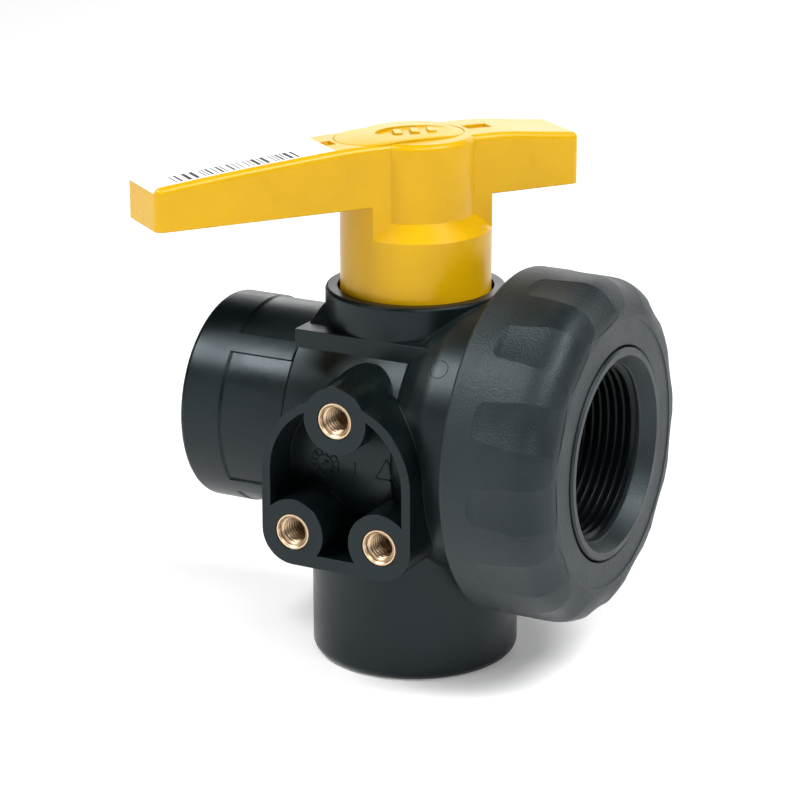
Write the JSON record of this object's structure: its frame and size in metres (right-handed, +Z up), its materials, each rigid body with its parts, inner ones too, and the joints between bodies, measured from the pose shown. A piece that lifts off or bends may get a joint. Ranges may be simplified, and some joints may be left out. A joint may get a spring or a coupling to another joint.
{
  "type": "three way ball valve",
  "caption": "Three way plastic ball valve with threaded side and bottom ports, a union nut end, a bracket with brass inserts and a turning T handle.",
  "frame": {"origin": "centre of the bottom port's mouth face", "axes": "+Z up along the stem, +X along the run towards the union, the mounting bracket faces -Y"},
  "size_m": [0.1176, 0.1146, 0.1462],
  "materials": {
    "body_black": "satin moulded, semi-gloss",
    "nut_black": "fine moulded grain",
    "connector_black": "satin moulded",
    "carrier_black": "satin moulded",
    "ball_black": "polished",
    "seat_white": "machined fluoropolymer",
    "rubber_black": "matt",
    "stem_grey": "glass filled, satin",
    "handle_yellow": "satin to gloss moulded",
    "cap_yellow": "satin moulded",
    "stainless": "bright",
    "brass": "turned, bright",
    "label_white": "printed film"
  },
  "bodies": {
    "body": {"valve_body": "body_black", "brass_insert_top": "brass", "brass_insert_left": "brass", "brass_insert_right": "brass", "seat_carrier": "carrier_black", "seat_carrier_o_ring": "rubber_black", "bottom_seat_carrier": "carrier_black", "ball_seat_left": "seat_white", "ball_seat_right": "seat_white", "ball_seat_bottom": "seat_white", "seat_back_ring_left": "rubber_black", "seat_back_ring_right": "rubber_black", "seat_back_ring_bottom": "rubber_black", "stem_thrust_washer": "seat_white"},
    "union_end": {"union_end_connector": "connector_black", "union_o_ring": "rubber_black"},
    "nut": {"union_nut": "nut_black"},
    "lever": {"handle": "handle_yellow", "handle_cap": "cap_yellow", "handle_screw": "stainless", "handle_screw_washer": "stainless", "barcode_label": "label_white", "stem": "stem_grey", "stem_o_ring_lower": "rubber_black", "stem_o_ring_upper": "rubber_black", "ball": "ball_black"}
  },
  "joints": [
    {"name": "handle_turn", "type": "hinge", "parent": "body", "child": "lever", "pos_m": [0, 0, 0.065], "axis": [0, 0, 1], "range_deg": [-54, 126]},
    {"name": "union_withdraw", "type": "slide", "parent": "body", "child": "union_end", "axis": [1, 0, 0], "range_m": [0, 0.0185]},
    {"name": "union_nut_turn", "type": "hinge", "parent": "union_end", "child": "nut", "pos_m": [0.045, 0, 0.065], "axis": [1, 0, 0], "range_deg": [0, 2880]}
  ],
  "couplings": [
    {"joint": "union_withdraw", "follows": "union_nut_turn", "m_per_rad": 0.0003675}
  ]
}
